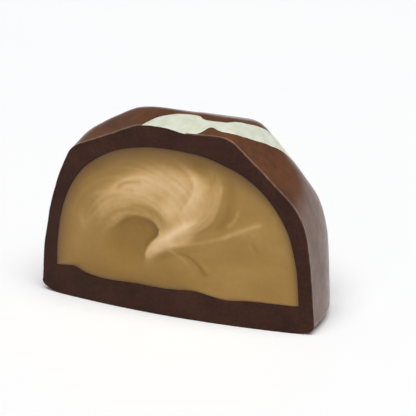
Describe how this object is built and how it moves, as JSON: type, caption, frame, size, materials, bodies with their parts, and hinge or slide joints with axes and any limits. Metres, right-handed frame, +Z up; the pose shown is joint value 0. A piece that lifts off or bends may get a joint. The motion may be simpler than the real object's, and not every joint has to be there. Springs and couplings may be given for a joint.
{
  "type": "halved chocolate truffle",
  "caption": "Half of a creased dark chocolate truffle, cut upright to show its swirled cream filling, with a white stripe over the crown.",
  "frame": {"origin": "middle of the footprint's bounding box, at the level of the flat base", "axes": "+Z up; +X along the cut, to the right as the cut face is looked at; the cut face looks along -Y"},
  "size_m": [0.0315, 0.018, 0.0213],
  "materials": {
    "dark_chocolate": "satin dark brown chocolate outside, duller and fine-grained where it is cut",
    "cream_filling": "soft tan cream with paler smeared streaks, slightly moist",
    "white_chocolate": "smooth ivory white chocolate, satin"
  },
  "bodies": {
    "root": {"chocolate_shell": "dark_chocolate", "cream_filling": "cream_filling", "white_stripe": "white_chocolate"}
  },
  "joints": []
}
